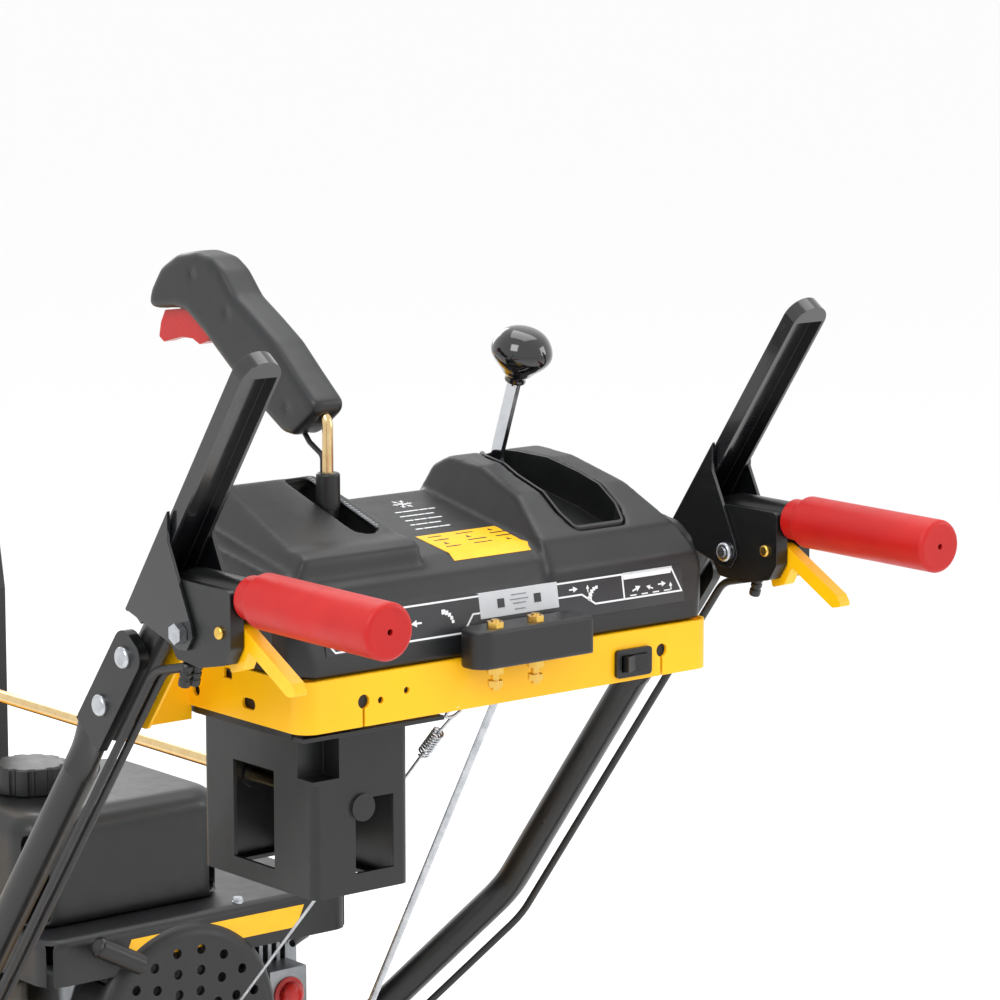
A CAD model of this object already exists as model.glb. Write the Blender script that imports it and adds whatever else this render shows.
import logging
import math
import random
from collections.abc import Sequence
from dataclasses import dataclass, field, replace
from enum import Enum

import bmesh
import bpy
from mathutils import Matrix, Vector


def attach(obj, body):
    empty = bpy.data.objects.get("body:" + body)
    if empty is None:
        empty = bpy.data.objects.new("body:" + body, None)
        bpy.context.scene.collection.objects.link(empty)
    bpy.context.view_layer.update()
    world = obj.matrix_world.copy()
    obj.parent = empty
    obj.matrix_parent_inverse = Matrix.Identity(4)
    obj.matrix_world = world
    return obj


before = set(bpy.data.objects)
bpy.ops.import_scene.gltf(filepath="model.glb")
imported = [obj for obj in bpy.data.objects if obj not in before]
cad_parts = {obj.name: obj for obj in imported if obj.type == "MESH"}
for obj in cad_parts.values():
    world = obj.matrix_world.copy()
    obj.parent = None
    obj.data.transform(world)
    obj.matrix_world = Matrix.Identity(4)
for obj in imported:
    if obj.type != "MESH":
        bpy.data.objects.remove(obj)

LOG = logging.getLogger("snowblower")
MM = 0.001
MACHINE = "machine"

# The console is laid out from the rear ends of the grips, in millimetres.
GRIP_END = 710.0
GRIP_HEIGHT = 960.0

# A rubbed edge shows where the rounded normal leaves the flat one: the cosines of its start and its end.
EDGE_STARTS = 0.98
EDGE_FULL = 0.82
# Handling changes the gloss over shorter lengths than the colour changes over.
WEAR_SHARE = 0.35
CRYSTAL_GRAINS = 3  # grain lengths across one zinc crystal
CRYSTAL_SHADE = 0.35
BEVEL_SAMPLES = 4

SHARP_TURN = math.radians(35)
ON_AXIS_MM = 1e-6
SHORTEST_MITRE = 0.5
LINE_END_SHARE = 0.98  # how far a line's end passes its point, in half widths
SEAT_MM = 0.4  # how deep a screw head starts inside the face it sits on
MARK_SEED = 7


# ---------------------------------------------------------------- small helpers
def linear(hex_colour: str) -> tuple[float, float, float, float]:
    """Turns an sRGB hex colour into the linear values that Blender mixes.

    Args:
        hex_colour: six hex digits after a hash.

    Returns:
        Red, green, blue and an alpha of one.
    """
    values = [int(hex_colour[i:i + 2], 16) / 255 for i in (1, 3, 5)]
    red, green, blue = (
        v / 12.92 if v <= 0.04045 else ((v + 0.055) / 1.055) ** 2.4 for v in values
    )
    return (red, green, blue, 1.0)


def console(x: float, y: float, z: float) -> Vector:
    """Turns a point measured from the grips' rear ends into the machine's millimetres."""
    return Vector((x, y + GRIP_END, z + GRIP_HEIGHT))


def per_mm(size_mm: float) -> float:
    """Gives the texture scale whose pattern repeats every size_mm."""
    return 1.0 / (size_mm * MM)


def add_node(
    tree: bpy.types.NodeTree,
    kind: str,
    inputs: dict[int | str, object] | None = None,
    **settings: object,
) -> bpy.types.Node:
    """Adds a node with its settings, its constant inputs and its links.

    Args:
        tree: the node tree that gets the node.
        kind: Blender's name for the node type.
        inputs: a socket, linked, or a value, set, for each input by name or place.
        settings: the node's own properties.

    Returns:
        The new node.
    """
    made = tree.nodes.new(kind)
    for name, value in settings.items():
        setattr(made, name, value)
    for key, value in (inputs or {}).items():
        if isinstance(value, bpy.types.NodeSocket):
            tree.links.new(value, made.inputs[key])
        else:
            made.inputs[key].default_value = value
    return made


# ---------------------------------------------------------------- finishes
class Pattern(Enum):
    """The fine surface left by how a piece was made."""

    ORANGE_PEEL = "sprayed enamel"
    SPARK = "spark-eroded mould grain"
    SMOOTH = "polished mould"
    BRUSHED = "drawn or ground metal"
    CAST = "sand or die casting"
    SPANGLE = "zinc plating crystals"
    PRINT = "screen print on film"


@dataclass(frozen=True)
class Finish:
    """One real material and the process that made its surface.

    The tone fields are slow colour changes, the grain fields are the fine relief, and
    edge_hex shows where the surface is thin or rubbed along an edge. far_hex, if given, is
    the plating of whatever lies further back on the machine than far_y_mm.
    """

    name: str
    hex_colour: str
    tone_hex: str
    pattern: Pattern
    roughness: float
    roughness_spread: float = 0.06
    metallic: float = 0.0
    ior: float = 1.5
    grain_mm: float = 1.0
    grain_depth_mm: float = 0.02
    tone_mm: float = 60.0
    coat: float = 0.0
    coat_roughness: float = 0.05
    edge_hex: str = ""
    edge_share: float = 0.0
    edge_mm: float = 0.7
    anisotropic: float = 0.0
    specular: float = 0.5
    far_hex: str = ""
    far_y_mm: float = 0.0

    def _height(self, tree: bpy.types.NodeTree, where: bpy.types.NodeSocket) -> bpy.types.NodeSocket:
        """Builds the fine relief of the pattern as a height from 0 to 1."""
        scale = per_mm(self.grain_mm)
        if self.pattern is Pattern.BRUSHED:
            stretched = add_node(tree, "ShaderNodeMapping", {"Vector": where, "Scale": (1.0, 0.04, 0.04)})
            return add_node(tree, "ShaderNodeTexNoise", {
                "Vector": stretched.outputs["Vector"], "Scale": scale, "Detail": 3.0, "Roughness": 0.6,
            }).outputs["Fac"]
        if self.pattern in (Pattern.SPARK, Pattern.CAST):
            cells = add_node(tree, "ShaderNodeTexVoronoi", {
                "Vector": where, "Scale": scale, "Randomness": 1.0,
            }, feature="SMOOTH_F1").outputs["Distance"]
            fine = add_node(tree, "ShaderNodeTexNoise", {
                "Vector": where, "Scale": scale * 1.7, "Detail": 3.0, "Roughness": 0.65,
            }).outputs["Fac"]
            return add_node(tree, "ShaderNodeMath", {0: cells, 1: fine}, operation="ADD").outputs["Value"]
        return add_node(tree, "ShaderNodeTexNoise", {
            "Vector": where, "Scale": scale, "Detail": 2.0, "Roughness": 0.5,
        }).outputs["Fac"]

    def colour_of(self, tree: bpy.types.NodeTree, where: bpy.types.NodeSocket) -> bpy.types.NodeSocket:
        """Builds the slow colour changes over the surface."""
        noise = add_node(tree, "ShaderNodeTexNoise", {
            "Vector": where, "Scale": per_mm(self.tone_mm), "Detail": 4.0, "Roughness": 0.6,
        })
        share = add_node(tree, "ShaderNodeMapRange", {
            "Value": noise.outputs["Fac"], "From Min": 0.35, "From Max": 0.7,
        })
        mixed = add_node(tree, "ShaderNodeMix", {
            0: share.outputs["Result"], 6: linear(self.hex_colour), 7: linear(self.tone_hex),
        }, data_type="RGBA")
        colour = mixed.outputs[2]
        if self.pattern is Pattern.SPANGLE:
            crystals = add_node(tree, "ShaderNodeTexVoronoi", {
                "Vector": where, "Scale": per_mm(self.grain_mm * CRYSTAL_GRAINS),
            })
            shade = add_node(tree, "ShaderNodeMapRange", {
                "Value": crystals.outputs["Distance"], "To Min": 0.0, "To Max": CRYSTAL_SHADE,
            })
            colour = add_node(tree, "ShaderNodeMix", {
                0: shade.outputs["Result"], 6: colour, 7: linear(self.tone_hex),
            }, data_type="RGBA").outputs[2]
        if self.far_hex:
            along = add_node(tree, "ShaderNodeSeparateXYZ", {"Vector": where}).outputs["Y"]
            far = add_node(tree, "ShaderNodeMath", {
                0: along, 1: self.far_y_mm * MM,
            }, operation="GREATER_THAN")
            colour = add_node(tree, "ShaderNodeMix", {
                0: far.outputs["Value"], 6: colour, 7: linear(self.far_hex),
            }, data_type="RGBA").outputs[2]
        return colour

    def build(self) -> bpy.types.Material:
        """Makes the material once and gives the same one after that.

        Returns:
            The Blender material of this finish.
        """
        known = bpy.data.materials.get(self.name)
        if known is not None and known.get("built"):
            return known
        material = bpy.data.materials.new(self.name)
        material.use_nodes = True
        material["built"] = True
        tree = material.node_tree
        tree.nodes.clear()
        where = add_node(tree, "ShaderNodeTexCoord").outputs["Object"]
        colour = self.colour_of(tree, where)
        flat = add_node(tree, "ShaderNodeNewGeometry").outputs["Normal"]
        smooth = flat
        if self.pattern is not Pattern.PRINT:
            smooth = add_node(tree, "ShaderNodeBevel", {
                "Radius": self.edge_mm * MM,
            }, samples=BEVEL_SAMPLES).outputs["Normal"]
        if self.edge_share:
            facing = add_node(tree, "ShaderNodeVectorMath", {
                0: smooth, 1: flat,
            }, operation="DOT_PRODUCT").outputs["Value"]
            edge = add_node(tree, "ShaderNodeMapRange", {
                "Value": facing, "From Min": EDGE_STARTS, "From Max": EDGE_FULL,
                "To Min": 0.0, "To Max": self.edge_share,
            }).outputs["Result"]
            colour = add_node(tree, "ShaderNodeMix", {
                0: edge, 6: colour, 7: linear(self.edge_hex),
            }, data_type="RGBA").outputs[2]
        handled = add_node(tree, "ShaderNodeTexNoise", {
            "Vector": where, "Scale": per_mm(self.tone_mm * WEAR_SHARE), "Detail": 5.0, "Roughness": 0.7,
        }).outputs["Fac"]
        roughness = add_node(tree, "ShaderNodeMapRange", {
            "Value": handled, "From Min": 0.3, "From Max": 0.7,
            "To Min": max(0.02, self.roughness - self.roughness_spread),
            "To Max": min(1.0, self.roughness + self.roughness_spread),
        }).outputs["Result"]
        bump = add_node(tree, "ShaderNodeBump", {
            "Strength": 1.0, "Distance": self.grain_depth_mm * MM,
            "Height": self._height(tree, where), "Normal": smooth,
        })
        shader = add_node(tree, "ShaderNodeBsdfPrincipled", {
            "Base Color": colour, "Roughness": roughness, "Normal": bump.outputs["Normal"],
            "Metallic": self.metallic, "Specular IOR Level": self.specular,
            "Coat Weight": self.coat, "Coat Roughness": self.coat_roughness,
            "Anisotropic": self.anisotropic,
        })
        if not self.metallic:
            shader.inputs["IOR"].default_value = self.ior
        add_node(tree, "ShaderNodeOutputMaterial", {"Surface": shader.outputs["BSDF"]})
        return material


# Gloss polyester enamel over pressed steel: deep even colour, faint orange peel, thin at edges.
YELLOW_ENAMEL = Finish(
    "enamelled_steel_golden_yellow", "#FFC000", "#FAB800", Pattern.ORANGE_PEEL, 0.4,
    grain_mm=3.0, grain_depth_mm=0.03, tone_mm=140, coat=0.15, coat_roughness=0.15, specular=0.35,
    edge_hex="#FFCB3A", edge_share=0.3, edge_mm=0.8,
)
# Satin black powder coat on tube and plate: fine peel, soft broad highlight, greyer at edges.
BLACK_POWDER = Finish(
    "powder_coated_steel_black", "#0C0D0E", "#111213", Pattern.ORANGE_PEEL, 0.32,
    grain_mm=1.6, grain_depth_mm=0.03, tone_mm=90, edge_hex="#4A4C50", edge_share=0.45, edge_mm=0.7,
)
# Glossier black enamel of the pressed levers: long clean highlights along the channel.
BLACK_ENAMEL = Finish(
    "enamelled_steel_black", "#0E0F11", "#141517", Pattern.ORANGE_PEEL, 0.22,
    grain_mm=4.0, grain_depth_mm=0.03, tone_mm=70, coat=0.5, coat_roughness=0.08,
    edge_hex="#5A5C60", edge_share=0.5, edge_mm=0.9,
)
# Talc-filled polypropylene from a spark-eroded mould: charcoal, fine grain, broad soft sheen.
CHARCOAL_PP = Finish(
    "moulded_polypropylene_charcoal", "#141517", "#1B1C1E", Pattern.SPARK, 0.42,
    grain_mm=1.1, grain_depth_mm=0.045, tone_mm=80, edge_hex="#55575B", edge_share=0.35, edge_mm=1.0,
)
# Glass-filled nylon mouldings: blacker, a little shinier where hands and cables rub.
BLACK_NYLON = Finish(
    "moulded_nylon_black", "#0F1011", "#151617", Pattern.SPARK, 0.34,
    grain_mm=0.8, grain_depth_mm=0.04, tone_mm=40, edge_hex="#4B4D50", edge_share=0.35, edge_mm=0.7,
)
# Dipped plastisol vinyl grips: saturated red, soft sheen, very faint dimpling.
RED_VINYL = Finish(
    "dipped_vinyl_red", "#B90E0A", "#AE0B08", Pattern.ORANGE_PEEL, 0.45,
    grain_mm=2.2, grain_depth_mm=0.05, tone_mm=50, specular=0.4, edge_hex="#F24A3C", edge_share=0.25,
    edge_mm=0.9,
)
RED_ABS = Finish(
    "moulded_abs_red", "#B8130D", "#AC0F0A", Pattern.SMOOTH, 0.3,
    grain_mm=2.0, grain_depth_mm=0.01, tone_mm=20, edge_hex="#FF6A55", edge_share=0.3,
)
YELLOW_ABS = Finish(
    "moulded_abs_yellow", "#FFC000", "#F9B700", Pattern.SMOOTH, 0.36,
    grain_mm=2.0, grain_depth_mm=0.015, tone_mm=25, edge_hex="#FFD75E", edge_share=0.4,
)
# Bright zinc on bolts and shafts: blue-grey, small crystals, crisp but soft reflections.
BRIGHT_ZINC = Finish(
    "zinc_plated_steel", "#C9CCD0", "#A9ADB3", Pattern.SPANGLE, 0.28, metallic=1.0,
    grain_mm=1.2, grain_depth_mm=0.01, tone_mm=12, edge_hex="#EDEFF2", edge_share=0.4, edge_mm=0.4,
)
# The same plating on the handle bolts, with yellow passivated nuts at the grips and the centre block.
HANDLE_BOLT_ZINC = replace(
    BRIGHT_ZINC, name="zinc_plated_handle_bolts", far_hex="#E2B95C", far_y_mm=540.0,
)
# Yellow-passivated zinc: straw gold that drifts toward pink and olive.
GOLD_ZINC = Finish(
    "yellow_passivated_steel", "#E4CB98", "#D6B783", Pattern.SPANGLE, 0.2, metallic=1.0,
    grain_mm=1.2, grain_depth_mm=0.01, tone_mm=9, edge_hex="#F3DFA6", edge_share=0.4, edge_mm=0.4,
)
# Chromed flat bar: nearly mirror, fine grinding marks under the plate.
CHROME_BAR = Finish(
    "chromed_flat_steel", "#D4D6DA", "#C2C5CA", Pattern.BRUSHED, 0.14, metallic=1.0,
    grain_mm=0.6, grain_depth_mm=0.004, tone_mm=18, anisotropic=0.4, edge_hex="#FFFFFF",
    edge_share=0.3, edge_mm=0.4,
)
# Polished phenolic knob: jet black, wet-looking gloss.
PHENOLIC = Finish(
    "polished_phenolic_black", "#0C0C0E", "#111114", Pattern.SMOOTH, 0.1, roughness_spread=0.03,
    grain_mm=6.0, grain_depth_mm=0.01, tone_mm=12, coat=0.6, coat_roughness=0.04,
)
# PVC cable sheath and EPDM belts: dull black with a faint lengthwise sheen.
CABLE_SHEATH = Finish(
    "extruded_pvc_sheath_black", "#141416", "#1B1B1E", Pattern.ORANGE_PEEL, 0.42,
    grain_mm=1.5, grain_depth_mm=0.03, tone_mm=30,
)
# Carbon-black tyre rubber: matt, slightly brown, mould texture on the walls.
TYRE_RUBBER = Finish(
    "vulcanised_tyre_rubber", "#19191A", "#232222", Pattern.SPARK, 0.68, roughness_spread=0.1,
    grain_mm=1.8, grain_depth_mm=0.12, tone_mm=45, edge_hex="#3A3938", edge_share=0.35, edge_mm=1.2,
)
RIM_ENAMEL = Finish(
    "enamelled_steel_cream", "#E9E7DF", "#DFDCD2", Pattern.ORANGE_PEEL, 0.3,
    grain_mm=2.6, grain_depth_mm=0.03, tone_mm=70, coat=0.3, coat_roughness=0.1,
    edge_hex="#F8F7F2", edge_share=0.3,
)
# Die-cast engine alloy: pale grey, granular skin, brighter machined-looking edges.
CAST_ALLOY = Finish(
    "die_cast_aluminium", "#A3A6A9", "#8D9093", Pattern.CAST, 0.46, metallic=1.0,
    grain_mm=1.6, grain_depth_mm=0.12, tone_mm=35, edge_hex="#D5D7DA", edge_share=0.45,
)
# Aluminised exhaust pressing: dull silver that heat has tanned in patches.
HEATED_STEEL = Finish(
    "aluminised_exhaust_steel", "#8F8B85", "#6F6457", Pattern.CAST, 0.42, metallic=1.0,
    grain_mm=1.0, grain_depth_mm=0.05, tone_mm=30, edge_hex="#B9B5AE", edge_share=0.3,
)
BELT_RUBBER = Finish(
    "moulded_belt_rubber", "#202022", "#2A2A2C", Pattern.SPARK, 0.7,
    grain_mm=0.7, grain_depth_mm=0.08, tone_mm=15,
)
# Screen-printed polyester film: flat inks under a thin clear varnish.
FILM_WHITE = Finish("printed_film_white", "#E9EAEC", "#DFE1E4", Pattern.PRINT, 0.35,
                    grain_mm=0.8, grain_depth_mm=0.004, tone_mm=14)
FILM_SILVER = Finish("printed_film_silver", "#C9CBCE", "#C2C5C9", Pattern.PRINT, 0.35,
                     grain_mm=0.6, grain_depth_mm=0.006, tone_mm=10)
FILM_YELLOW = Finish("printed_film_yellow", "#FFC000", "#F9B700", Pattern.PRINT, 0.38,
                     grain_mm=0.8, grain_depth_mm=0.004, tone_mm=14)
FILM_INK = Finish("printed_ink_dark", "#2A2415", "#332B19", Pattern.PRINT, 0.45,
                  grain_mm=0.8, grain_depth_mm=0.004, tone_mm=8)
FILM_BLACK = Finish("printed_film_charcoal", "#242528", "#2B2C2F", Pattern.PRINT, 0.34,
                    grain_mm=0.8, grain_depth_mm=0.006, tone_mm=30)
FILM_GREY = Finish("printed_ink_grey", "#8D9094", "#7D8084", Pattern.PRINT, 0.42,
                   grain_mm=0.8, grain_depth_mm=0.004, tone_mm=10)


# ---------------------------------------------------------------- mesh making
@dataclass
class Shaper:
    """Collects solids in millimetres and turns them into one riding piece."""

    mesh: bmesh.types.BMesh = field(default_factory=bmesh.new)

    def prism(self, outline: Sequence[tuple[float, float]], at: Matrix, low: float, high: float) -> None:
        """Adds a flat outline raised from low to high in the frame `at`.

        Args:
            outline: corners in the frame's own X and Y.
            at: the frame, whose Z is the way the outline is raised.
            low: the lower face.
            high: the upper face.
        """
        floor = [self.mesh.verts.new(at @ Vector((x, y, low))) for x, y in outline]
        roof = [self.mesh.verts.new(at @ Vector((x, y, high))) for x, y in outline]
        self.mesh.faces.new(floor[::-1])
        self.mesh.faces.new(roof)
        for i, corner in enumerate(floor):
            j = (i + 1) % len(floor)
            self.mesh.faces.new((corner, floor[j], roof[j], roof[i]))

    def bar(self, a: tuple[float, float], b: tuple[float, float], width: float, at: Matrix,
            low: float, high: float) -> None:
        """Adds a straight flat line of a width between two points of the frame."""
        p, q = Vector((*a, 0)), Vector((*b, 0))
        along = (q - p).normalized() * (width / 2)
        side = Vector((-along.y, along.x, 0))
        p, q = p - along * LINE_END_SHARE, q + along * LINE_END_SHARE
        self.prism([(c.x, c.y) for c in (p + side, p - side, q - side, q + side)], at, low, high)

    def line(self, points: Sequence[tuple[float, float]], width: float, at: Matrix,
             low: float, high: float) -> None:
        """Adds a run of flat lines through the points, mitred where they turn."""
        count = len(points)
        left, right = [], []
        for i, (x, y) in enumerate(points):
            before = Vector(points[max(i - 1, 0)])
            after = Vector(points[min(i + 1, count - 1)])
            here = Vector((x, y))
            d1 = (here - before).normalized() if i else (after - here).normalized()
            d2 = (after - here).normalized() if i < count - 1 else d1
            normal = Vector((-(d1 + d2).y, (d1 + d2).x)).normalized()
            reach = width / 2 / max(SHORTEST_MITRE, normal.dot(Vector((-d1.y, d1.x))))
            left.append(tuple(here + normal * reach))
            right.append(tuple(here - normal * reach))
        for i in range(count - 1):
            self.prism([right[i], right[i + 1], left[i + 1], left[i]], at, low, high)

    def lathe(self, profile: Sequence[tuple[float, float]], at: Matrix, segments: int = 24) -> None:
        """Adds a turned solid.

        Args:
            profile: (radius, height) from the bottom axis point to the top one.
            at: the frame, whose Z is the axis.
            segments: how many sides the turning has.
        """
        rings = []
        for radius, height in profile:
            if radius < ON_AXIS_MM:
                rings.append([self.mesh.verts.new(at @ Vector((0, 0, height)))])
                continue
            turns = (2 * math.pi * k / segments for k in range(segments))
            rings.append([
                self.mesh.verts.new(at @ Vector((radius * math.cos(t), radius * math.sin(t), height)))
                for t in turns
            ])
        for below, above in zip(rings, rings[1:]):
            for k in range(segments):
                n = (k + 1) % segments
                corners = [below[k % len(below)], below[n % len(below)], above[n % len(above)],
                           above[k % len(above)]]
                unique = list(dict.fromkeys(corners))
                if len(unique) > 2:
                    self.mesh.faces.new(unique)

    def tube(self, points: Sequence[Vector], radius: float, segments: int) -> None:
        """Adds a round bar along points, capped at both ends."""
        count = len(points)
        rings = []
        up = Vector((0, 0, 1))
        for i, point in enumerate(points):
            ahead = (points[min(i + 1, count - 1)] - points[max(i - 1, 0)]).normalized()
            side = ahead.cross(up)
            if side.length < 0.2:
                side = ahead.cross(Vector((1, 0, 0)))
            side.normalize()
            up = side.cross(ahead).normalized()
            rings.append([
                self.mesh.verts.new(
                    point + side * (radius * math.cos(t)) + up * (radius * math.sin(t)))
                for t in (2 * math.pi * k / segments for k in range(segments))
            ])
        for below, above in zip(rings, rings[1:]):
            for k in range(segments):
                n = (k + 1) % segments
                self.mesh.faces.new((below[k], below[n], above[n], above[k]))
        self.mesh.faces.new(rings[0][::-1])
        self.mesh.faces.new(rings[-1])

    def piece(self, name: str, finish: Finish, body: str, smooth: bool = True,
              bevel_mm: float = 0.0) -> bpy.types.Object:
        """Turns what was collected into a piece that rides on a body.

        Args:
            name: the piece's plain name.
            finish: what it is made of.
            body: the moving body that carries it.
            smooth: whether gentle turns shade smoothly.
            bevel_mm: how much its edges are eased.

        Returns:
            The new object.
        """
        bmesh.ops.recalc_face_normals(self.mesh, faces=self.mesh.faces)
        bmesh.ops.scale(self.mesh, vec=(MM, MM, MM), verts=self.mesh.verts)
        data = bpy.data.meshes.new(name)
        self.mesh.to_mesh(data)
        self.mesh.free()
        if smooth:
            data.shade_smooth()
            data.set_sharp_from_angle(angle=SHARP_TURN)
        thing = bpy.data.objects.new(name, data)
        bpy.context.scene.collection.objects.link(thing)
        if bevel_mm:
            easing = thing.modifiers.new("eased_edges", "BEVEL")
            easing.width = bevel_mm * MM
            easing.segments = 2
            easing.limit_method = "ANGLE"
        data.materials.append(finish.build())
        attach(thing, body)
        LOG.info("%s: %s on %s", name, finish.name, body)
        return thing


def facing(origin: Vector, across: Vector, outward: Vector) -> Matrix:
    """Gives the frame at origin whose X runs across and whose Z points outward."""
    z = outward.normalized()
    x = (across - z * across.dot(z)).normalized()
    y = z.cross(x)
    turn = Matrix((x, y, z)).transposed().to_4x4()
    return Matrix.Translation(origin) @ turn


def axis_frame(origin: Vector, axis: Vector) -> Matrix:
    """Gives a frame at origin whose Z is the axis, whatever its other two directions are."""
    helper = Vector((1, 0, 0)) if abs(axis.normalized().x) < 0.9 else Vector((0, 1, 0))
    return facing(origin, helper, axis)


def dome_head(shaper: Shaper, origin: Vector, axis: Vector, radius: float, height: float) -> None:
    """Adds a low round head with a flange and a soft crown."""
    at = axis_frame(origin, axis)
    crown = [(radius * math.cos(t), height * (0.25 + 0.75 * math.sin(t)))
             for t in (math.radians(a) for a in range(0, 90, 15))]
    shaper.lathe([(0, -SEAT_MM), (radius, -SEAT_MM), *crown, (0, height)], at)


def hex_head(shaper: Shaper, origin: Vector, axis: Vector, across: float, height: float) -> None:
    """Adds a hexagonal head with a washer face and a chamfered top."""
    at = axis_frame(origin, axis)
    radius = across / math.sqrt(3)
    washer = across * 0.62
    shaper.lathe([(0, -SEAT_MM), (washer, -SEAT_MM), (washer, 1.0), (0, 1.0)], at)
    shaper.lathe([(0, 0.9), (radius, 0.9), (radius, height - 0.8), (radius * 0.86, height), (0, height)],
                 at, segments=6)


# ---------------------------------------------------------------- sub-assemblies
@dataclass(frozen=True)
class Dressing:
    """Gives every carried-over solid its real finish, and the moulded ones their round edges.

    Each row of `rounded` names a solid, the size of the cells its surface is remade from in
    millimetres, and how many smoothing passes round it.
    """

    finishes: tuple[tuple[Finish, tuple[str, ...]], ...] = (
        (YELLOW_ENAMEL, ("dash_bracket", "auger_housing", "frame_housing", "chute_deflector")),
        (BLACK_POWDER, (
            "lower_handle_left", "lower_handle_right", "upper_handle_left", "upper_handle_right",
            "auger_left", "auger_right", "impeller", "impeller_pulley", "engine_pulley", "skid_shoes",
        )),
        (BLACK_ENAMEL, ("clutch_lever_left", "clutch_lever_right")),
        (CHARCOAL_PP, ("dash_panel", "centre_block", "joystick_grip", "chute", "belt_cover",
                       "engine_shroud")),
        (BLACK_NYLON, (
            "lever_bracket_left", "lever_bracket_right", "speed_gate", "rocker_frame", "rocker_button",
            "joystick_carriage", "joystick_sleeve", "chute_control_box", "chute_gearbox",
            "chute_pinion", "fuel_tank", "fuel_cap", "recoil_handle",
        )),
        (RED_VINYL, ("grip_left", "grip_right")),
        (RED_ABS, ("joystick_trigger",)),
        (YELLOW_ABS, ("steering_trigger_left", "steering_trigger_right")),
        (HANDLE_BOLT_ZINC, ("handle_fasteners",)),
        (BRIGHT_ZINC, ("auger_shaft", "impeller_shaft", "axle", "scraper_bar", "shift_rod")),
        (GOLD_ZINC, ("joystick_rod", "chute_rod")),
        (CHROME_BAR, ("speed_lever",)),
        (PHENOLIC, ("speed_knob",)),
        (CABLE_SHEATH, ("joystick_cable", "clutch_cables")),
        (BELT_RUBBER, ("drive_belts",)),
        (TYRE_RUBBER, ("tyre_left", "tyre_right")),
        (RIM_ENAMEL, ("rim_left", "rim_right")),
        (CAST_ALLOY, ("engine_block", "auger_gearbox")),
        (HEATED_STEEL, ("muffler",)),
    )
    weld_gap_m: float = 1e-5
    smoothing: float = 0.5
    rounded: tuple[tuple[str, float, int], ...] = (
        ("dash_panel", 1.7, 22), ("joystick_grip", 1.3, 45), ("centre_block", 1.2, 6),
        ("fuel_tank", 2.4, 10), ("chute_gearbox", 1.6, 6), ("speed_knob", 0.7, 14),
    )

    def soften(self, nodes: dict[str, bpy.types.Object]) -> None:
        """Rounds the edges of the moulded shells as their moulds do, by modifiers alone.

        Args:
            nodes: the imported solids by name.
        """
        for name, cell_mm, passes in self.rounded:
            weld = nodes[name].modifiers.new("weld_seams", "WELD")
            weld.merge_threshold = self.weld_gap_m
            cells = nodes[name].modifiers.new("even_cells", "REMESH")
            cells.mode = "VOXEL"
            cells.voxel_size = cell_mm * MM
            cells.use_smooth_shade = True
            ease = nodes[name].modifiers.new("rounded_edges", "SMOOTH")
            ease.factor = self.smoothing
            ease.iterations = passes
            LOG.info("%s: edges rounded over %d passes", name, passes)

    def dress(self, nodes: dict[str, bpy.types.Object]) -> None:
        """Puts the finishes on the nodes, and stops if one is left bare.

        Args:
            nodes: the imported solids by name.
        """
        bare = set(nodes)
        for finish, names in self.finishes:
            for name in names:
                if name not in nodes:
                    LOG.warning("no solid named %s", name)
                    continue
                nodes[name].data.materials.clear()
                nodes[name].data.materials.append(finish.build())
                bare.discard(name)
                LOG.info("%s: %s", name, finish.name)
        if bare:
            raise ValueError(f"solids without a finish: {sorted(bare)}")


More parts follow.
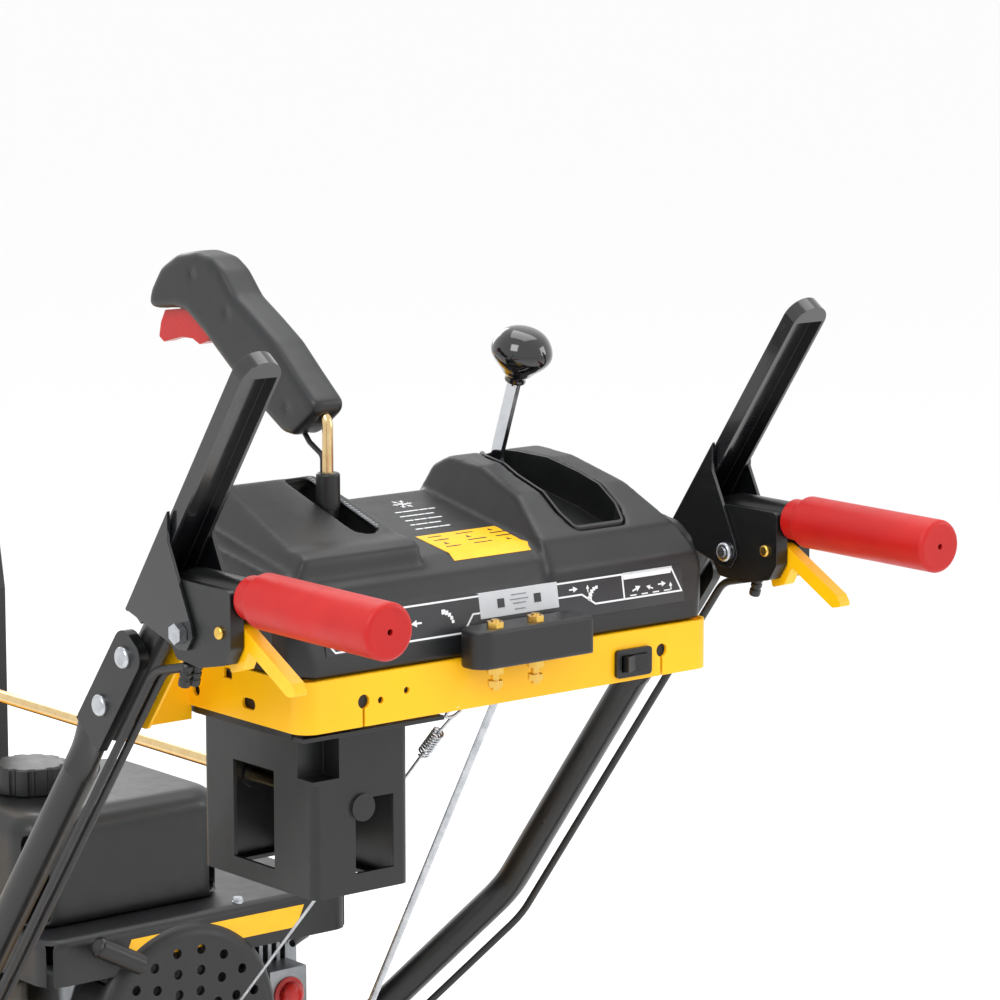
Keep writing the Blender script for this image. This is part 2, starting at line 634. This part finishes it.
@dataclass(frozen=True)
class ControlBand:
    """The printed band across the rear of the control panel, and the plate on it."""

    centre_z: float = -43.0
    lean: float = 5.0 / 29.0
    rear_at_centre: float = -184.5
    film_mm: float = 0.25
    ink_mm: float = 0.2
    line_mm: float = 1.3
    fine_mm: float = 0.9
    half_width: float = 166.0
    upper_z: float = -29.0
    lower_z: float = -56.5
    sunk_mm: float = 2.2
    plate_mm: float = 0.35
    plate_sunk_mm: float = 2.0

    def frame(self) -> Matrix:
        """Gives the band's frame: X to the operator's right, Y up the face, Z outward."""
        outward = Vector((0, 1.0, self.lean))
        return facing(console(0, self.rear_at_centre, self.centre_z), Vector((-1, 0, 0)), outward)

    def height(self, z: float) -> float:
        """Turns a height on the console into a distance up the band."""
        return (z - self.centre_z) * math.hypot(1.0, self.lean)

    def _outline(self, points: Sequence[tuple[float, float]]) -> list[tuple[float, float]]:
        """Turns (x, z) console points into the band's own points."""
        return [(-x, self.height(z)) for x, z in points]

    def _dial(self, shaper: Shaper, x: float, z: float, radius: float, start: float, end: float) -> None:
        """Adds five small squares on an arc, the generic sign of a stepped control."""
        at, low, high = self.frame(), self.film_mm, self.film_mm + self.ink_mm
        for step in range(5):
            a = math.radians(start + (end - start) * step / 4)
            u, v = -x + radius * math.cos(a), self.height(z) + radius * math.sin(a)
            s = 1.1 + 0.15 * step
            shaper.prism([(u - s, v - s), (u + s, v - s), (u + s, v + s), (u - s, v + s)], at, low, high)

    def _arrow(self, shaper: Shaper, x: float, z: float, size: float, angle: float) -> None:
        """Adds a plain arrow head with a short tail."""
        at, low, high = self.frame(), self.film_mm, self.film_mm + self.ink_mm
        turn = Matrix.Rotation(math.radians(angle), 4, "Z")
        at = at @ Matrix.Translation((-x, self.height(z), 0)) @ turn
        shaper.prism([(-size * 0.2, -size * 0.6), (size, 0), (-size * 0.2, size * 0.6)], at, low, high)
        shaper.bar((-size * 1.1, 0), (-size * 0.3, 0), size * 0.32, at, low, high)

    def build(self) -> None:
        """Makes the band's film, its white print, the bright plate and the plate's marks."""
        at, film, ink = self.frame(), self.film_mm, self.ink_mm
        base = Shaper()
        left, right = self.half_width, -self.half_width
        corners = [(left, self.lower_z), (left, self.upper_z), (right, self.upper_z), (right, self.lower_z)]
        base.prism(self._outline(corners), at, -self.sunk_mm, film)
        base.piece("control_band_film", FILM_BLACK, MACHINE, bevel_mm=0.08)
        print_ = Shaper()
        runs = [
            [(27, -42.5), (34, -42.5), (44, -54.5), (158, -54.5), (162, -50), (162, -34), (157, -30.5),
             (27, -30.5)],
            [(-45, -30.5), (-156, -30.5), (-164, -48.5), (-80, -48.5), (-68, -40.5), (-45, -40.5)],
            [(-108, -30.5), (-108, -48.5)],
        ]
        for run in runs:
            print_.line(self._outline(run), self.line_mm, at, film, film + ink)
        print_.prism(self._outline([(-109, -34.5), (-109, -29.6), (-157, -29.6), (-155, -34.5)]), at,
                     film, film + ink)
        self._dial(print_, 62, -47, 9.5, 10, 80)
        self._dial(print_, -84, -45.5, 9.0, 100, 170)
        self._dial(print_, 120, -50, 10.0, 40, 110)
        for x, z, size, angle in ((86, -43, 4.2, 180), (-61, -36, 3.6, 0), (-74, -36.5, 2.4, 90),
                                  (-121, -42, 3.8, 20), (-133, -42.5, 3.0, 160), (-146, -41.5, 3.4, 0),
                                  (-154, -43.5, 2.6, 90), (140, -41, 4.0, 0), (104, -37.5, 2.8, 90)):
            self._arrow(print_, x, z, size, angle)
        for x in (-117, -128, -139, -150):
            v = self.height(-46.6)
            print_.bar((-x - 2.6, v), (-x + 2.6, v), self.fine_mm, at, film, film + ink)
        print_.piece("control_band_print", FILM_WHITE, MACHINE, smooth=False)
        plate = Shaper()
        top = film + self.plate_mm
        plate.prism(self._outline([(27.5, -47), (27.5, -28.6), (-45.5, -28.6), (-45.5, -47)]), at,
                    -self.plate_sunk_mm, top)
        plate.piece("gear_plate", FILM_SILVER, MACHINE, bevel_mm=0.15)
        marks = Shaper()
        for x in (8.0, -26.0):
            marks.prism(self._outline([(x + 3.2, -40.8), (x + 3.2, -34.4), (x - 3.2, -34.4),
                                       (x - 3.2, -40.8)]), at, top, top + 0.25)
        marks.piece("gear_plate_windows", FILM_BLACK, MACHINE, bevel_mm=0.05)
        fine = Shaper()
        for x, z, half in ((-9, -33.0, 6.5), (-9, -36.4, 8.0), (-9, -39.2, 5.5), (-9, -43.4, 4.5)):
            v = self.height(z)
            fine.bar((-x - half, v), (-x + half, v), self.fine_mm, at, top, top + ink)
        fine.piece("gear_plate_print", FILM_GREY, MACHINE, smooth=False)


@dataclass(frozen=True)
class PanelTop:
    """The printed and moulded details on top of the control panel."""

    slope: tuple[tuple[float, float], ...] = ((-251.0, 4.45), (-212.0, -2.0), (-205.5, -6.77))
    label_left: float = 34.0
    label_right: float = -40.5
    film_mm: float = 0.3
    label_lift_mm: float = 0.03
    mark_mm: float = 0.1
    ink_low: float = 0.05
    ink_high: float = 0.25
    comb_pitch: float = 3.6
    comb_half: float = 0.9
    side_x: float = 188.9

    def _strip(self, shaper: Shaper, left: float, right: float, path: Sequence[tuple[float, float]],
               low: float, high: float) -> None:
        """Adds a film bent over the panel's crease, between two heights above the surface."""
        rows = []
        for i, (y, z) in enumerate(path):
            before, after = path[max(i - 1, 0)], path[min(i + 1, len(path) - 1)]
            run = Vector((after[0] - before[0], after[1] - before[1])).normalized()
            up = Vector((-run.y, run.x))
            rows.append([
                shaper.mesh.verts.new(console(x, y + up.x * lift, z + up.y * lift))
                for x, lift in ((left, low), (right, low), (right, high), (left, high))
            ])
        for a, b in zip(rows, rows[1:]):
            for k in range(4):
                n = (k + 1) % 4
                shaper.mesh.faces.new((a[k], a[n], b[n], b[k]))
        shaper.mesh.faces.new(rows[0])
        shaper.mesh.faces.new(rows[-1][::-1])

    def flat(self) -> Matrix:
        """Gives the frame on the sloping flat: X to the operator's right, Y forward and up."""
        return facing(console(0, -231.5, 1.225), Vector((-1, 0, 0)), Vector((0, 0.1632, 0.9866)))

    def build(self) -> None:
        """Makes the yellow label with its marks, the white print, the slot's comb and the screws."""
        label = Shaper()
        self._strip(label, self.label_left, self.label_right, self.slope, self.label_lift_mm,
                    self.film_mm)
        label.piece("panel_label", FILM_YELLOW, MACHINE, bevel_mm=0.08)
        marks = Shaper()
        at, low, high = self.flat(), self.film_mm, self.film_mm + self.mark_mm
        rng = random.Random(MARK_SEED)
        for column in range(3):
            u0 = -26.0 + 26.0 * column
            for row in range(4):
                v = 14.5 - 7.4 * row
                if (column + row) % 3 == 2:
                    peak = [(u0 + 2, v - 2.2), (u0 + 6.4, v - 2.2), (u0 + 4.2, v + 2.2)]
                    marks.prism(peak, at, low, high)
                    continue
                start = u0
                for _ in range(3):
                    length = rng.uniform(2.0, 5.0)
                    width = rng.uniform(1.3, 2.1)
                    marks.bar((start, v), (start + length, v), width, at, low, high)
                    start += length + rng.uniform(1.2, 2.2)
        marks.piece("panel_label_print", FILM_INK, MACHINE, smooth=False)
        prints = Shaper()
        for row in range(5):
            v = 34.0 + 9.5 * row
            start = -22.0 + 2.5 * row
            for _ in range(5):
                length = rng.uniform(2.4, 6.5)
                prints.bar((start, v), (start + length, v), 1.7, at, self.ink_low, self.ink_high)
                start += length + rng.uniform(1.6, 3.0)
        self._flake(prints, (6.0, 88.0), 8.0, at)
        prints.piece("panel_top_print", FILM_WHITE, MACHINE, smooth=False)
        self._comb()
        self._screws()

    def _flake(self, shaper: Shaper, centre: tuple[float, float], size: float, at: Matrix) -> None:
        """Adds a plain six-armed snow sign."""
        for arm in range(6):
            a = math.radians(60 * arm)
            tip = (centre[0] + size * math.cos(a), centre[1] + size * math.sin(a))
            shaper.bar(centre, tip, 1.3, at, self.ink_low, self.ink_high)
            for side in (-1, 1):
                b = a + side * math.radians(50)
                mid = (centre[0] + size * 0.6 * math.cos(a), centre[1] + size * 0.6 * math.sin(a))
                end = (mid[0] + size * 0.3 * math.cos(b), mid[1] + size * 0.3 * math.sin(b))
                shaper.bar(mid, end, 0.7, at, 0.02, 0.16)

    def _comb(self) -> None:
        """Makes the toothed guide along the inner edge of the joystick's slot."""
        comb = Shaper()
        start, end = Vector((0, -243.0, 17.4)), Vector((0, -326.0, 42.8))
        along = (end - start).normalized()
        length = (end - start).length
        at = facing(console(74.6, start.y, start.z), along, Vector((0, along.z, -along.y)))
        half, pitch = self.comb_half, self.comb_pitch
        comb.prism([(0, -half), (length, -half), (length, half), (0, half)], at, -0.6, 0.5)
        for k in range(int(length / pitch)):
            u = pitch / 2 + pitch * k
            tooth = [(u - 1.1, -half), (u + 1.1, -half), (u + 0.6, half), (u - 0.6, half)]
            comb.prism(tooth, at, 0.4, 1.3)
        comb.piece("joystick_slot_comb", FILM_GREY, MACHINE, bevel_mm=0.15)

    def _screws(self) -> None:
        """Makes the panel's small domed screws along its lower side edges."""
        screws = Shaper()
        for side in (1, -1):
            for y in (-225.0, -300.0):
                dome_head(screws, console(side * self.side_x, y, -62), Vector((side, 0, 0)), 4.2, 2.0)
        screws.piece("panel_screws", BRIGHT_ZINC, MACHINE)


@dataclass(frozen=True)
class JoystickTrim:
    """The screws sunk into the chute control's handle."""

    centre_x: float = 85.0
    half: float = 15.0
    sunk: float = 2.2
    wells: tuple[tuple[float, float], ...] = ((-318, 98), (-352, 124), (-392, 160), (-436, 185))

    def build(self) -> None:
        """Makes the recessed screws on both halves of the handle."""
        screws = Shaper()
        for y, z in self.wells:
            for side in (1, -1):
                origin = console(self.centre_x + side * (self.half - self.sunk), y, z)
                at = axis_frame(origin, Vector((side, 0, 0)))
                screws.lathe([(0, -0.3), (2.9, -0.3), (2.9, 0.7), (2.2, 1.2), (0.9, 1.2), (0.9, 0.5),
                              (0, 0.5)], at, segments=18)
        screws.piece("joystick_screws", BLACK_ENAMEL, "joystick")


@dataclass(frozen=True)
class HandleHardware:
    """The ferrules of the clutch cables."""

    side_x: float = 250.0
    cable_in: float = 15.0
    second_track: float = -8.0

    def build(self) -> None:
        """Makes the ferrules where the cables meet the lever brackets."""
        ferrules = Shaper()
        for side in (1, -1):
            tracks = (0.0, self.second_track) if side > 0 else (0.0,)
            for track in tracks:
                start = console(side * (self.side_x + self.cable_in + track), -208, -53)
                at = axis_frame(start, Vector((0, 0.28, 0.96)))
                ferrules.lathe([(0, -16), (3.9, -16), (4.4, -15), (4.4, -11), (3.7, -10.4), (3.7, -9.2),
                                (4.4, -8.6), (4.4, -6), (3.7, -5.4), (3.7, -4.2), (4.4, -3.6), (4.4, 0),
                                (3.2, 1.5), (0, 1.5)], at, 16)
        ferrules.piece("cable_ferrules", BLACK_NYLON, MACHINE)


@dataclass(frozen=True)
class BracketLiner:
    """Black rubber strips glued behind the holes of the yellow bracket."""

    rear: float = -181.0
    thick: float = 0.9
    half_height: float = 15.0
    spans: tuple[tuple[float, float], ...] = ((152, 90), (-131, -152))

    def build(self) -> None:
        """Makes the two strips."""
        liner = Shaper()
        at = facing(console(0, self.rear, -92), Vector((-1, 0, 0)), Vector((0, 1, 0)))
        tall = self.half_height
        for left, right in self.spans:
            outline = [(-left, -tall), (-right, -tall), (-right, tall), (-left, tall)]
            liner.prism(outline, at, -self.thick, 0.0)
        liner.piece("bracket_liner", BELT_RUBBER, MACHINE, bevel_mm=0.2)


@dataclass(frozen=True)
class LinkWire:
    """The bright wire with its hook and spring that hangs under the bracket."""

    wire_r: float = 1.2
    hook_r: float = 6.0
    spring_r: float = 4.2
    spring_wire_r: float = 0.8
    spring_long: float = 26.0
    turns: int = 9
    turn_steps: int = 16
    top: tuple[float, float, float] = (53.0, 524.0, 846.0)
    foot: tuple[float, float, float] = (60.0, 101.0, 404.0)

    def build(self) -> None:
        """Makes the hook, the short spring below it and the wire to the drive frame."""
        top, foot = Vector(self.top), Vector(self.foot)
        down = (foot - top).normalized()
        side = Vector((1, 0, 0))
        hook = Shaper()
        centre = top - down * 4
        loop = [centre + side * (self.hook_r * math.cos(a)) - down * (self.hook_r * math.sin(a))
                for a in (math.radians(t) for t in range(-150, 181, 15))]
        hook.tube(loop, self.wire_r, 10)
        hook.tube([loop[-1], loop[-1] + side * 4 + down * 10, top + down * 22], self.wire_r, 10)
        spring = []
        steps = self.turns * self.turn_steps
        for k in range(steps + 1):
            a = 2 * math.pi * k / self.turn_steps
            spring.append(top + down * (20 + self.spring_long * k / steps)
                          + side * (self.spring_r * math.cos(a))
                          + down.cross(side) * (self.spring_r * math.sin(a)))
        hook.tube(spring, self.spring_wire_r, 8)
        hook.tube([top + down * 45, top + down * 60, foot - down * 8, foot], self.wire_r, 10)
        hook.piece("drive_link_wire", BRIGHT_ZINC, MACHINE)


@dataclass(frozen=True)
class HousingHardware:
    """The bolts and the plain stripes on the snow housing's side plates."""

    half: float = 330.0
    bolts_at: tuple[tuple[float, float], ...] = (
        (-400, 120), (-400, 250), (-420, 380), (-560, 480), (-640, 300),
    )
    stripe_count: int = 3
    stripe_pitch: float = 38.0
    stripe_wide: float = 22.0
    film: tuple[float, float] = (0.02, 0.3)

    def build(self) -> None:
        """Makes the carriage bolts and the stripes on each side plate."""
        bolts = Shaper()
        for side in (1, -1):
            for y, z in self.bolts_at:
                dome_head(bolts, Vector((side * self.half, y, z)), Vector((side, 0, 0)), 8.5, 3.4)
        bolts.piece("housing_bolts", BRIGHT_ZINC, MACHINE)
        stripe = Shaper()
        for side in (1, -1):
            at = facing(
                Vector((side * self.half, -520, 400)), Vector((0, -side, 0)), Vector((side, 0, 0)),
            )
            wide = self.stripe_wide
            for k in range(self.stripe_count):
                u = -70 + self.stripe_pitch * k
                leaning = [(u, -wide), (u + wide, -wide), (u + 2 * wide, wide), (u + wide, wide)]
                stripe.prism(leaning, at, *self.film)
        stripe.piece("housing_stripes", FILM_BLACK, MACHINE, bevel_mm=0.08)


@dataclass(frozen=True)
class EngineTrim:
    """The engine's screws, starter hub, plug lead, primer bulb and plain stripe."""

    crank_z: float = 505.0
    deck_z: float = 599.6
    screws_at: tuple[tuple[float, float], ...] = ((-150, -86), (-150, 86), (110, -98), (-60, 98))

    def build(self) -> None:
        """Makes each trim piece of the engine."""
        screws = Shaper()
        for x, y in self.screws_at:
            hex_head(screws, Vector((x, y, self.deck_z)), Vector((0, 0, 1)), 8, 4.5)
        screws.piece("shroud_screws", BRIGHT_ZINC, MACHINE)
        hub = Shaper()
        at = axis_frame(Vector((0, 114.3, self.crank_z)), Vector((0, 1, 0)))
        hub.lathe([(0, -1), (24, -1), (24, 1.2), (21, 3.2), (8, 3.8), (0, 3.8)], at, 40)
        hub.piece("starter_hub", YELLOW_ENAMEL, MACHINE)
        boot = Shaper()
        at = axis_frame(Vector((-165, -6, 520)), Vector((-1, 0, 0.12)))
        boot.lathe([(0, -4), (9, -4), (9.6, 2), (8.2, 6), (8.8, 10), (8.0, 16), (6.4, 22), (0, 23)],
                   at, 24)
        lead = [Vector(p) for p in ((-184, -6, 523), (-187, 4, 528), (-184, 20, 534), (-176, 34, 538),
                                    (-164, 44, 540), (-150, 50, 538))]
        boot.tube(lead, 3.2, 10)
        boot.piece("plug_boot", CABLE_SHEATH, MACHINE)
        primer = Shaper()
        at = axis_frame(Vector((-131, 69.5, 502)), Vector((0, 1, 0)))
        primer.lathe([(0, -1), (15, -1), (15, 2), (11.5, 3.2), (11, 8), (8, 11.4), (4, 12.6), (0, 13)],
                     at, 32)
        primer.piece("primer_bulb", RED_ABS, MACHINE)
        stripe = Shaper()
        at = facing(Vector((-20, 108.1, 581)), Vector((-1, 0, 0)), Vector((0, 1, 0)))
        stripe.prism([(-80, -9), (92, -9), (100, 9), (-72, 9)], at, 0.02, 0.3)
        stripe.piece("shroud_stripe", FILM_YELLOW, MACHINE, bevel_mm=0.08)


@dataclass(frozen=True)
class WheelTrim:
    """The tyres' valve stems."""

    wheel_x: float = 245.0
    axle_y: float = -20.0
    axle_z: float = 200.0
    valve_out: float = 20.0
    valve_radius: float = 84.0

    def build(self) -> None:
        """Makes a valve on each rim."""
        for side, word in ((1, "left"), (-1, "right")):
            valve = Shaper()
            origin = Vector((
                side * (self.wheel_x + self.valve_out), self.axle_y, self.axle_z + self.valve_radius,
            ))
            at = axis_frame(origin, Vector((side, 0, 0.25)))
            valve.lathe([(0, -6), (5.2, -6), (5.2, 0), (3.4, 3), (3.2, 14), (3.8, 15), (3.8, 24),
                         (2.6, 25.5), (0, 25.5)], at, 18)
            valve.piece(f"tyre_valve_{word}", CABLE_SHEATH, f"wheel_{word}")


@dataclass(frozen=True)
class Softbox:
    """One square soft light: where it stands, what it is aimed at, its side and its power."""

    name: str
    place: tuple[float, float, float]
    target: tuple[float, float, float]
    size: float
    watts: float

    def build(self) -> None:
        """Adds the light to the scene."""
        lamp = bpy.data.lights.new(self.name, "AREA")
        lamp.shape = "SQUARE"
        lamp.size = self.size
        lamp.energy = self.watts
        thing = bpy.data.objects.new(self.name, lamp)
        bpy.context.scene.collection.objects.link(thing)
        place = Vector(self.place)
        thing.location = place
        thing.rotation_mode = "QUATERNION"
        thing.rotation_quaternion = (Vector(self.target) - place).to_track_quat("-Z", "Y")


CONSOLE_CENTRE = (0.0, 0.45, 0.95)
HOUSING_CENTRE = (0.0, -0.3, 0.4)


@dataclass(frozen=True)
class Studio:
    """The pale floor, the soft lights and the camera."""

    azimuth: float = 140.895
    elevation: float = 9.378
    place: tuple[float, float, float] = (1.779, 2.703, 1.461)
    lens_mm: float = 143.3
    sensor_mm: float = 36.0
    sight: tuple[float, float] = (0.05, 200.0)
    floor_half: float = 60.0
    floor_drop: float = 0.0005
    air_strength: float = 1.08
    softboxes: tuple[Softbox, ...] = (
        Softbox("key_softbox", (2.6, 1.6, 3.2), CONSOLE_CENTRE, 1.6, 48),
        Softbox("top_softbox", (-0.6, 0.2, 3.6), CONSOLE_CENTRE, 2.2, 36),
        Softbox("rear_softbox", (-2.8, 2.6, 1.9), CONSOLE_CENTRE, 1.4, 24),
        Softbox("front_softbox", (-1.0, -3.4, 2.4), HOUSING_CENTRE, 2.0, 36),
    )

    def _floor(self) -> None:
        """Makes the floor of matt white paper."""
        size, z = self.floor_half, -self.floor_drop
        data = bpy.data.meshes.new("studio_floor")
        corners = [(-size, -size, z), (size, -size, z), (size, size, z), (-size, size, z)]
        data.from_pydata(corners, [], [(0, 1, 2, 3)])
        floor = bpy.data.objects.new("studio_floor", data)
        bpy.context.scene.collection.objects.link(floor)
        paper = bpy.data.materials.new("studio_paper")
        paper.use_nodes = True
        tree = paper.node_tree
        tree.nodes.clear()
        shader = add_node(tree, "ShaderNodeBsdfPrincipled", {
            "Base Color": linear("#F4F4F4"), "Roughness": 0.9, "Specular IOR Level": 0.1,
        })
        add_node(tree, "ShaderNodeOutputMaterial", {"Surface": shader.outputs["BSDF"]})
        data.materials.append(paper)

    def _air(self) -> None:
        """Makes the even white light that comes from all round."""
        world = bpy.data.worlds.new("studio_air")
        bpy.context.scene.world = world
        world.use_nodes = True
        world.node_tree.nodes.clear()
        sky = add_node(world.node_tree, "ShaderNodeBackground", {
            "Color": linear("#FFFFFF"), "Strength": self.air_strength,
        })
        add_node(world.node_tree, "ShaderNodeOutputWorld", {"Surface": sky.outputs["Background"]})

    def _camera(self) -> None:
        """Makes the camera that looks at the console from behind and a little above."""
        lens = bpy.data.cameras.new("catalogue_camera")
        lens.sensor_width = self.sensor_mm
        lens.lens = self.lens_mm
        lens.clip_start, lens.clip_end = self.sight
        camera = bpy.data.objects.new("catalogue_camera", lens)
        bpy.context.scene.collection.objects.link(camera)
        a, e = math.radians(self.azimuth), math.radians(self.elevation)
        back = Vector((math.sin(a) * math.cos(e), -math.cos(a) * math.cos(e), math.sin(e)))
        camera.location = self.place
        camera.rotation_mode = "QUATERNION"
        camera.rotation_quaternion = (-back).to_track_quat("-Z", "Y")
        bpy.context.scene.camera = camera

    def build(self) -> None:
        """Makes the floor, the world, the lights and the camera."""
        bpy.context.scene.view_settings.view_transform = "Standard"
        self._floor()
        self._air()
        for softbox in self.softboxes:
            softbox.build()
        self._camera()


def main() -> None:
    """Dresses the frame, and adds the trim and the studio."""
    logging.basicConfig(level=logging.INFO, format="%(name)s: %(message)s")
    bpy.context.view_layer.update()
    Studio().build()
    dressing = Dressing()
    dressing.dress(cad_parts)
    dressing.soften(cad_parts)
    for assembly in (
        ControlBand(), PanelTop(), JoystickTrim(), HandleHardware(), BracketLiner(), LinkWire(),
        HousingHardware(), EngineTrim(), WheelTrim(),
    ):
        assembly.build()


if __name__ == "__main__":
    main()
